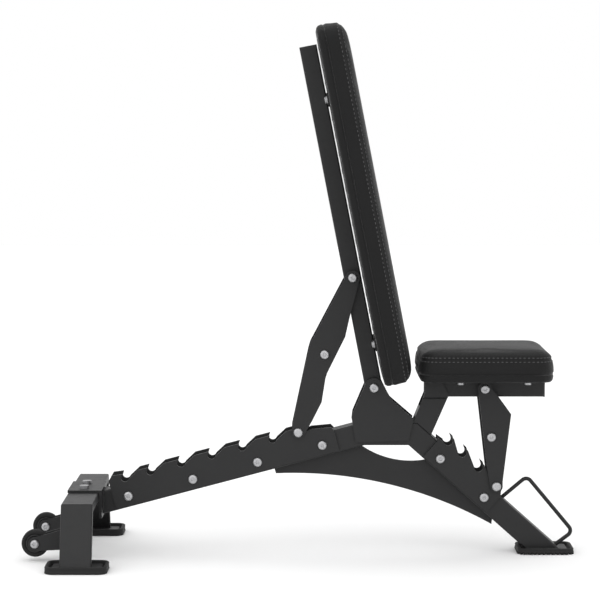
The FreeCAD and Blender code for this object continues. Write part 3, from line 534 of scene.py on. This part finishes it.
def fill_cover(piece, voxel, swell, base_height):
    """Fills a closed cover with air by cloth simulation, held at its base and with its movement capped."""
    remesh = piece.modifiers.new("cells", "REMESH")
    remesh.mode = "VOXEL"
    remesh.voxel_size = voxel
    bpy.context.view_layer.objects.active = piece
    bpy.ops.object.modifier_apply(modifier=remesh.name)
    rest = [vertex.co.copy() for vertex in piece.data.vertices]
    held = piece.vertex_groups.new(name="held")
    held.add([index for index, place in enumerate(rest) if place.z < base_height], 1.0, "REPLACE")
    cloth = piece.modifiers.new("filling", "CLOTH")
    cloth.settings.quality = 6
    cloth.settings.mass = 0.4
    cloth.settings.tension_stiffness = 25
    cloth.settings.compression_stiffness = 25
    cloth.settings.bending_stiffness = 3
    cloth.settings.use_pressure = True
    cloth.settings.uniform_pressure_force = 4
    cloth.settings.vertex_group_mass = "held"
    cloth.settings.effector_weights.gravity = 0
    cloth.collision_settings.use_collision = False
    scene = bpy.context.scene
    for number in range(1, 21):
        scene.frame_set(number)
    bpy.ops.object.modifier_apply(modifier=cloth.name)
    piece.vertex_groups.clear()
    scene.frame_set(1)
    if max((vertex.co - start).length for vertex, start in zip(piece.data.vertices, rest)) < 0.05 * MM:
        raise RuntimeError(piece.name + ": the cover didn't fill")
    for vertex, start in zip(piece.data.vertices, rest):
        move = vertex.co - start
        if move.length > swell:
            vertex.co = start + move * (swell / move.length)


def subdivide_once(piece):
    smooth = piece.modifiers.new("smooth", "SUBSURF")
    smooth.levels = smooth.render_levels = 1
    bpy.context.view_layer.objects.active = piece
    bpy.ops.object.modifier_apply(modifier=smooth.name)


def sew_in(piece, pad, settings):
    """Pulls the cover in at its two seams, and lets it pucker a little between stitches."""
    seams = ((settings.seam_height, 0.0026, 0.0030), (settings.panel_height, 0.0016, 0.0028))
    plan_x, plan_y = pad.half_x - settings.plan_radius, pad.half_y - settings.plan_radius
    for vertex in piece.data.vertices:
        place = vertex.co
        core = held_inside(place, plan_x, plan_y)
        away = Vector((place.x, place.y)) - core
        if away.length < settings.plan_radius * 0.62:
            continue
        outward = away.normalized()
        pull = 0.0
        for height, depth, reach in seams:
            pull += depth * math.exp(-((place.z - height) / reach) ** 2)
        along = (place.x + place.y) / (settings.stitch_pitch * 2.6)
        near = math.exp(-((place.z - settings.panel_height) / 0.010) ** 2)
        pull += 0.0005 * near * noise(Vector((along, place.z * 60, 3.0)))
        vertex.co.x -= outward.x * pull
        vertex.co.y -= outward.y * pull


def upholster(which, settings, material):
    """One pad cover from its plan, filled by cloth simulation and sewn in at its seams."""
    pad = pad_for(settings, which)
    slack = settings.slack
    top = pad.thick - slack - settings.crown
    levels = [(60 * MM, 0.0), (26 * MM, 0.0), (5.4 * MM, 0.0), (3.4 * MM, 0.6 * MM), (2.4 * MM, 2.6 * MM),
              (1.6 * MM, 6 * MM), (0.9 * MM, 12 * MM), (0.3 * MM, settings.seam_height),
              (0.0, 24 * MM), (0.0, 36 * MM), (0.2 * MM, 46 * MM), (1.4 * MM, settings.panel_height),
              (4.4 * MM, top - 12.5 * MM), (9.0 * MM, top - 7.4 * MM), (15.5 * MM, top - 3.4 * MM),
              (23 * MM, top - 1.0 * MM), (31 * MM, top), (50 * MM, top + settings.crown * 0.45),
              (80 * MM, top + settings.crown * 0.8), (118 * MM, top + settings.crown)]
    levels = [(inset + (slack if height > 3 * MM else 0), height) for inset, height in levels]
    bm = ring_solid(pad.half_x, pad.half_y, settings.plan_radius, levels)
    piece = new_piece(which + "_cushion", mesh_from(which + "_cover", bm), pad.body, material)
    fill_cover(piece, settings.voxel, settings.swell, 5 * MM)
    subdivide_once(piece)
    sew_in(piece, pad, settings)
    surface = BVHTree.FromPolygons([vertex.co.copy() for vertex in piece.data.vertices],
                                   [tuple(polygon.vertices) for polygon in piece.data.polygons])
    piece.data.transform(pad.to_row)
    for polygon in piece.data.polygons:
        polygon.use_smooth = True
    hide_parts(*pad.nodes)
    return piece, surface


SURFACES = {}


def on_cover(surface, point, away, height):
    """The place and outward normal of a cover's side wall at this height."""
    inward = Vector((-away.x, -away.y, 0))
    hit, normal, _, _ = surface.ray_cast(Vector((point.x, point.y, height)) - inward * 0.03, inward)
    if hit is None:
        raise RuntimeError("no cover beside %.3f, %.3f at %.4f" % (point.x, point.y, height))
    if normal.dot(inward) > 0:
        normal = -normal
    return hit, normal


def seam_shadow_cord(which, settings, material):
    """A thin, very dark cord in a pad's lower seam: a painted shadow that stands for the seam's shade line."""
    pad = pad_for(settings, which)
    outline = rounded_plan(pad.half_x, pad.half_y, settings.plan_radius, 0.004)
    bm = bmesh.new()
    rings = []
    for point, tangent, away in even_steps(outline, 0.004):
        hit, _ = on_cover(SURFACES[which], point, away, settings.seam_height)
        out = Vector((away.x, away.y, 0))
        ring = []
        for turn in range(8):
            angle = math.pi / 4 * turn
            ring.append(bm.verts.new(hit + (out * (math.cos(angle) - 0.1)
                                            + Vector((0, 0, math.sin(angle)))) * settings.cord))
        rings.append(ring)
    join_rings(bm, rings, closed=True)
    bm.transform(pad.to_row)
    return new_piece(which + "_seam_cord", mesh_from(which + "_cord", bm), pad.body, material)


def stitch_rows(which, settings, material):
    """Two rows of separate stitches round a pad, laid on the cover's surface beside the upper seam."""
    pad = pad_for(settings, which)
    surface = SURFACES[which]
    bm = bmesh.new()
    outline = rounded_plan(pad.half_x, pad.half_y, settings.plan_radius, 0.004)
    for side in (-1, 1):
        height = settings.panel_height + side * settings.row_gap / 2
        for number, (point, tangent, away) in enumerate(even_steps(outline, settings.stitch_pitch)):
            hit, normal = on_cover(surface, point, away, height)
            run = Vector((tangent.x, tangent.y, 0)).normalized()
            lean = 0.06 * noise(Vector((number * 0.37, side, 0)))
            add_stitch(bm, hit + normal * settings.thread_radius * 0.25, run, normal, lean, settings)
    bm.transform(pad.to_row)
    return new_piece(which + "_stitching", mesh_from(which + "_stitches", bm), pad.body, material)


def add_stitch(bm, centre, run, normal, lean, settings):
    """One thread stitch: a thick strand whose ends dive into the cover."""
    across = normal.cross(run).normalized()
    run = (run + across * lean).normalized()
    half = settings.stitch_length / 2
    rings = []
    steps = 7
    for index in range(steps):
        share = -1 + 2 * index / (steps - 1)
        middle = centre + run * half * share - normal * settings.thread_radius * 1.5 * share ** 4
        radius = settings.thread_radius * (1 - 0.55 * share ** 6)
        ring = []
        for turn in range(6):
            angle = math.pi / 3 * turn
            ring.append(bm.verts.new(middle + (across * math.cos(angle) + normal * math.sin(angle)) * radius))
        rings.append(ring)
    join_rings(bm, rings)


def under_cloth(which, settings, cloth, staple_metal):
    """The black cloth under a pad, its turned-in edge and the staples that hold it."""
    pad = pad_for(settings, which)
    inset = 24 * MM
    levels = [(90 * MM, -0.3 * MM), (inset + 6 * MM, -0.3 * MM), (inset + 3 * MM, -0.5 * MM),
              (inset, -0.4 * MM), (inset, 0.4 * MM), (90 * MM, 0.4 * MM)]
    bm = ring_solid(pad.half_x, pad.half_y, settings.plan_radius, levels, 0.02)
    bm.transform(pad.to_row)
    new_piece(which + "_under_cloth", mesh_from(which + "_dust", bm), pad.body, cloth)
    wires = bmesh.new()
    row = inset + 4 * MM  # the staples' row, in from the pad's edge
    outline = rounded_plan(pad.half_x - row, pad.half_y - row, settings.plan_radius, 0.004)
    for point, tangent, away in even_steps(outline, 0.042):
        centre = Vector((point.x, point.y, -0.6 * MM))
        run = Vector((tangent.x, tangent.y, 0)).normalized()
        turned = Matrix((run, Vector((away.x, away.y, 0)), Vector((0, 0, 1)))).transposed().to_4x4()
        made = bmesh.ops.create_cube(wires, size=1.0, matrix=Matrix.Translation(centre) @ turned
                                     @ Matrix.Diagonal((11 * MM, 1.2 * MM, 0.9 * MM, 1.0)))
        edges = list({edge for vertex in made["verts"] for edge in vertex.link_edges})
        bmesh.ops.bevel(wires, geom=edges, offset=0.35 * MM, segments=2, affect="EDGES")
    wires.transform(pad.to_row)
    new_piece(which + "_staples", mesh_from(which + "_staples", wires), pad.body, staple_metal)


# ---- operators ----

MATERIALS = {}


def finishes():
    """Every material of the bench, made once."""
    if not MATERIALS:
        look = bpy.context.scene.bench_finish
        MATERIALS.update({
            "frame_paint": powder_coat("satin_powder_coat", tuple(look.frame_paint)),
            "zinc": plated("zinc_plate", tuple(look.zinc), 0.34),
            "steel": plated("bare_steel", shade(look.zinc, 0.75), 0.30),
            "vinyl": vinyl("grained_vinyl", tuple(look.cover), look.grain),
            "thread": spun_thread("grey_thread", tuple(look.thread)),
            "foot_rubber": moulded_rubber("foot_rubber", tuple(look.rubber), 0.22),
            "tyre": moulded_rubber("tyre_rubber", shade(look.rubber, 0.8), 0.35),
            "hub_plastic": moulded_plastic("hub_plastic", shade(look.frame_paint, 1.2)),
            "cap_plastic": moulded_plastic("cap_plastic", shade(look.frame_paint, 0.8)),
            "plywood": plywood("birch_plywood"),
            "dust_cloth": dust_cloth("dust_cloth"),
            # Painted shadow: the seam cord is 0.35 of the cover colour, a dark strand that draws the lower seam's
            # shade line.
            "cord": spun_thread("black_cord", shade(look.cover, 0.35)),
        })
    return MATERIALS


class BENCH_OT_finish_frame(bpy.types.Operator):
    """Gives every metal, plastic and wooden part of the frame its finish"""
    bl_idname = "bench.finish_frame"
    bl_label = "Finish frame"

    def execute(self, context):
        made = finishes()
        slots = {entry["node"]: entry["material_slot"] for entry in frame["record"]["subparts"]}
        for node, piece in NODES.items():
            piece.data.materials.clear()
            piece.data.materials.append(made[slots[node]])
        return {"FINISHED"}


class BENCH_OT_upholster_back(bpy.types.Operator):
    """Makes the back rest's cushion with its stitching and under cloth"""
    bl_idname = "bench.upholster_back"
    bl_label = "Upholster back rest"

    def execute(self, context):
        made = finishes()
        settings = context.scene.bench_pads
        _, SURFACES["back"] = upholster("back", settings, made["vinyl"])
        seam_shadow_cord("back", settings, made["cord"])
        stitch_rows("back", settings, made["thread"])
        under_cloth("back", settings, made["dust_cloth"], made["zinc"])
        return {"FINISHED"}


class BENCH_OT_upholster_seat(bpy.types.Operator):
    """Makes the seat's cushion with its soft rear end, its stitching and its under cloth"""
    bl_idname = "bench.upholster_seat"
    bl_label = "Upholster seat"

    def execute(self, context):
        made = finishes()
        settings = context.scene.bench_pads
        cushion, SURFACES["seat"] = upholster("seat", settings, made["vinyl"])
        cord = seam_shadow_cord("seat", settings, made["cord"])
        stitching = stitch_rows("seat", settings, made["thread"])
        under_cloth("seat", settings, made["dust_cloth"], made["zinc"])
        for piece in (cushion, cord, stitching):
            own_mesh(piece)
        return {"FINISHED"}


class BENCH_OT_lock_pins(bpy.types.Operator):
    """Makes the whole locking bolts that lie in the notches, between the ladder plates"""
    bl_idname = "bench.lock_pins"
    bl_label = "Make locking pins"

    def execute(self, context):
        made = finishes()
        for strut in ("back_strut", "seat_strut"):
            low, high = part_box(strut + "_roller")
            centre = (low + high) / 2
            inner, outer = high.y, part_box(strut + "_plate_right")[0].y
            radius = (high.x - low.x) / 2 - NOTCH_GAP
            for side, name in ((-1, "left"), (1, "right")):
                profile = [(0.004, inner), (radius - 0.5 * MM, inner), (radius, inner + 0.5 * MM),
                           (radius, outer - 1.2 * MM), (radius - 0.9 * MM, outer - 0.4 * MM),
                           (0.004, outer - 0.4 * MM)]
                mesh = lathe(name, [(size, side * y) for size, y in profile], (centre.x, 0, centre.z))
                new_piece("%s_pin_sleeve_%s" % (strut, name), mesh, strut, made["steel"])
        return {"FINISHED"}


class BENCH_OT_wheels(bpy.types.Operator):
    """Makes the transport wheels: grooved tyres and dished hubs"""
    bl_idname = "bench.wheels"
    bl_label = "Make wheels"

    def execute(self, context):
        made = finishes()
        for side in ("left", "right"):
            low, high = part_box("wheel_tyre_" + side)
            centre = (low + high) / 2
            radius, half = (high.x - low.x) / 2, (high.y - low.y) / 2
            inner = (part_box("wheel_hub_" + side)[1].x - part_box("wheel_hub_" + side)[0].x) / 2
            tread = [(inner, -half), (radius - 5 * MM, -half), (radius - 2.2 * MM, -half + 0.8 * MM),
                     (radius - 0.5 * MM, -half + 2.8 * MM), (radius, -half + 5.2 * MM)]
            for groove in (-4 * MM, 4 * MM):
                tread += [(radius, groove - 1.1 * MM), (radius - 1.3 * MM, groove - 0.6 * MM),
                          (radius - 1.3 * MM, groove + 0.6 * MM), (radius, groove + 1.1 * MM)]
            tread += [(radius, half - 5.2 * MM), (radius - 0.5 * MM, half - 2.8 * MM),
                      (radius - 2.2 * MM, half - 0.8 * MM), (radius - 5 * MM, half), (inner, half)]
            tyre = new_piece("tyre_" + side, lathe("tyre", tread, centre, 96), "wheel_" + side,
                             made["tyre"])
            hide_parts("wheel_tyre_" + side)
            bore = 4.2 * MM
            dish = [(bore, -half), (9 * MM, -half), (9.8 * MM, -half + 0.8 * MM), (10.2 * MM, -half + 5 * MM),
                    (15.5 * MM, -half + 5.6 * MM), (16.6 * MM, -half + 1.2 * MM),
                    (inner - 1 * MM, -half + 0.6 * MM), (inner, -half + 1.2 * MM)]
            profile = dish + [(size, -y) for size, y in reversed(dish)]
            hub = new_piece("hub_" + side, lathe("hub", profile, centre, 72), "wheel_" + side,
                            made["hub_plastic"])
            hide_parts("wheel_hub_" + side)
        return {"FINISHED"}


def add_lugs(bm, half_x, half_y, tall):
    """The tread blocks round the underside of a foot."""
    outline = rounded_plan(half_x - 2.2 * MM, half_y - 2.2 * MM, 19.8 * MM, 0.003)
    for point, tangent, away in even_steps(outline, 0.0105):
        turned = Matrix((Vector((tangent.x, tangent.y, 0)), Vector((away.x, away.y, 0)),
                         Vector((0, 0, 1)))).transposed().to_4x4()
        size = Matrix.Diagonal((5.4 * MM, 4.4 * MM, tall + 1 * MM, 1.0))
        place = Matrix.Translation((point.x, point.y, (tall + 1 * MM) / 2)) @ turned @ size
        block = bmesh.ops.create_cube(bm, size=1.0, matrix=place)
        edges = list({edge for vertex in block["verts"] for edge in vertex.link_edges})
        bmesh.ops.bevel(bm, geom=edges, offset=0.4 * MM, segments=2, affect="EDGES")


class BENCH_OT_feet(bpy.types.Operator):
    """Makes the rubber feet: trays with a rolled rim, and tread blocks under the front one"""
    bl_idname = "bench.feet"
    bl_label = "Make feet"

    def execute(self, context):
        made = finishes()
        for node in ("rear_foot_left", "rear_foot_right", "front_foot"):
            low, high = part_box(node)
            half_x, half_y, tall = (high.x - low.x) / 2, (high.y - low.y) / 2, high.z
            centre = (low + high) / 2
            floor = 5.9 * MM
            lugs = 3.2 * MM if node == "front_foot" else 0.0
            levels = [(40 * MM, lugs + 0.6 * MM), (5 * MM, lugs + 0.6 * MM), (4.6 * MM, lugs),
                      (2.0 * MM, lugs), (0.8 * MM, lugs + 0.6 * MM), (0.2 * MM, lugs + 1.8 * MM),
                      (0.0, lugs + 2.6 * MM),
                      (0.8 * MM, lugs + 3.2 * MM), (1.0 * MM, tall - 3.6 * MM), (0.6 * MM, tall - 2.8 * MM),
                      (1.1 * MM, tall - 1.0 * MM), (2.6 * MM, tall), (6.4 * MM, tall),
                      (7.9 * MM, tall - 1.0 * MM), (8.4 * MM, tall - 2.6 * MM), (9.0 * MM, floor + 1.0 * MM),
                      (10.0 * MM, floor), (40 * MM, floor)]
            bm = ring_solid(half_x, half_y, 22 * MM, levels, 0.004)
            if lugs:
                add_lugs(bm, half_x, half_y, lugs)
            bm.transform(Matrix.Translation((centre.x, centre.y, 0)))
            piece = new_piece(node + "_tray", mesh_from(node, bm), "base", made["foot_rubber"])
            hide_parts(node)
        return {"FINISHED"}


def bead(bm, points, radius, seed):
    """A weld bead: a low ripple of overlapping scales along a line."""
    total = sum((second - first).length for first, second in zip(points, points[1:]))
    steps = max(4, round(total / (1.3 * MM)))
    rings = []
    for index in range(steps + 1):
        wanted = total * index / steps
        for first, second in zip(points, points[1:]):
            span = (second - first).length
            if wanted <= span + 1e-9:
                break
            wanted -= span
        middle = first.lerp(second, min(1.0, wanted / span))
        run = (second - first).normalized()
        side = run.orthogonal().normalized()
        other = run.cross(side)
        ends = min(1.0, min(index, steps - index) / 3 + 0.35)
        ripple = 0.10 * math.sin(index * 2.1) + 0.12 * noise(Vector((index * 0.4, seed, 0)))
        size = radius * ends * (1 + ripple)
        turns = [math.pi / 4 * turn for turn in range(8)]
        rings.append([bm.verts.new(middle + (side * math.cos(turn) + other * math.sin(turn)) * size)
                      for turn in turns])
    join_rings(bm, rings)


class BENCH_OT_welds(bpy.types.Operator):
    """Lays weld beads where the frame's plates and tubes meet"""
    bl_idname = "bench.welds"
    bl_label = "Lay welds"

    def execute(self, context):
        made = finishes()
        bm = bmesh.new()
        runs = []
        ear_low, ear_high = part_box("seat_hinge_ears")
        for side in (-1, 1):
            outer = side * (ear_high.y + 0.4 * MM)
            runs.append([Vector((ear_low.x + 2 * MM, outer, ear_low.z + 0.4 * MM)),
                         Vector((ear_high.x - 6 * MM, outer, ear_low.z + 0.4 * MM))])
        plate_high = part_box("rear_saddle_bracket")[1]
        tube_low, tube_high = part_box("main_tube")
        for side in (-1, 1):
            edge = side * (tube_high.y + 0.2 * MM)
            runs.append([Vector((plate_high.x + 0.3 * MM, edge, tube_low.z + 6 * MM)),
                         Vector((plate_high.x + 0.3 * MM, edge, plate_high.z - 8 * MM))])
        steel_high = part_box("front_foot_plate")[1]
        leg_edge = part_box("front_leg_tube")[1]
        for side in (-1, 1):
            edge, top = side * (leg_edge.y + 0.3 * MM), steel_high.z + 0.3 * MM
            runs.append([Vector((leg_edge.x - 80 * MM, edge, top)), Vector((leg_edge.x - 3 * MM, edge, top))])
        for number, run in enumerate(runs):
            bead(bm, run, 2.1 * MM, number * 7.0)
        new_piece("weld_beads", mesh_from("welds", bm), "base", made["frame_paint"])
        return {"FINISHED"}


def studio_world(strength):
    """Even white light from all round."""
    world = bpy.data.worlds.new("studio")
    world.use_nodes = True
    background = world.node_tree.nodes["Background"]
    background.inputs["Color"].default_value = (1, 1, 1, 1)
    background.inputs["Strength"].default_value = strength
    return world


def add_lamp(name, data, place, target):
    lamp = bpy.data.objects.new(name, data)
    lamp.location = place
    lamp.rotation_euler = (Vector(target) - Vector(place)).to_track_quat("-Z", "Y").to_euler()
    bpy.context.scene.collection.objects.link(lamp)


class BENCH_OT_stage(bpy.types.Operator):
    """Sets up the pale floor, the soft studio light and the camera"""
    bl_idname = "bench.stage"
    bl_label = "Set up studio"

    def execute(self, context):
        scene = context.scene
        studio = scene.bench_studio
        scene.view_settings.view_transform = "Standard"
        bm = bmesh.new()
        bmesh.ops.create_grid(bm, x_segments=24, y_segments=24, size=14)
        floor = new_piece("floor", mesh_from("floor", bm), None, studio_paint("studio_floor"))
        scene.world = studio_world(studio.room)
        sun = bpy.data.lights.new("overhead", "SUN")
        sun.energy = studio.overhead
        sun.angle = math.radians(120)
        add_lamp("overhead", sun, (-0.8, -1.4, 5.0), (0, 0, 0.3))
        softbox = bpy.data.lights.new("front_fill", "AREA")
        softbox.shape = "SQUARE"
        softbox.size = 2.2
        softbox.energy = studio.fill
        add_lamp("front_fill", softbox, (-1.8, -5.6, 2.3), (0, 0, 0.5))
        data = bpy.data.cameras.new("camera")
        data.lens = studio.focal_length
        data.sensor_width = 36
        data.clip_end = 60
        camera = bpy.data.objects.new("camera", data)
        camera.location = (0, -studio.camera_distance, studio.camera_height)
        camera.rotation_euler = (math.pi / 2 - studio.camera_pitch, 0, 0)
        scene.collection.objects.link(camera)
        scene.camera = camera
        return {"FINISHED"}


STEPS = (BENCH_OT_finish_frame, BENCH_OT_upholster_back, BENCH_OT_upholster_seat, BENCH_OT_lock_pins,
         BENCH_OT_wheels, BENCH_OT_feet, BENCH_OT_welds, BENCH_OT_stage)


class BENCH_PT_panel(bpy.types.Panel):
    """Lists the bench's settings and steps"""
    bl_idname = "BENCH_PT_panel"
    bl_label = "Weight bench"
    bl_space_type = "VIEW_3D"
    bl_region_type = "UI"
    bl_category = "Bench"

    def draw(self, context):
        for group in (context.scene.bench_pads, context.scene.bench_finish, context.scene.bench_studio):
            box = self.layout.box()
            for key in group.__annotations__:
                box.prop(group, key)
        for step in STEPS:
            self.layout.operator(step.bl_idname)


GROUPS = {"bench_pads": PadSettings, "bench_finish": FinishSettings, "bench_studio": StudioSettings}


def register():
    for group in GROUPS.values():
        bpy.utils.register_class(group)
    for step in STEPS + (BENCH_PT_panel,):
        bpy.utils.register_class(step)
    for name, group in GROUPS.items():
        setattr(bpy.types.Scene, name, PointerProperty(type=group))


def unregister():
    for name in GROUPS:
        delattr(bpy.types.Scene, name)
    for step in (BENCH_PT_panel,) + STEPS[::-1]:
        bpy.utils.unregister_class(step)
    for group in GROUPS.values():
        bpy.utils.unregister_class(group)


def main():
    register()
    for step in STEPS:
        family, name = step.bl_idname.split(".")
        getattr(getattr(bpy.ops, family), name)()


if __name__ == "__main__":
    main()
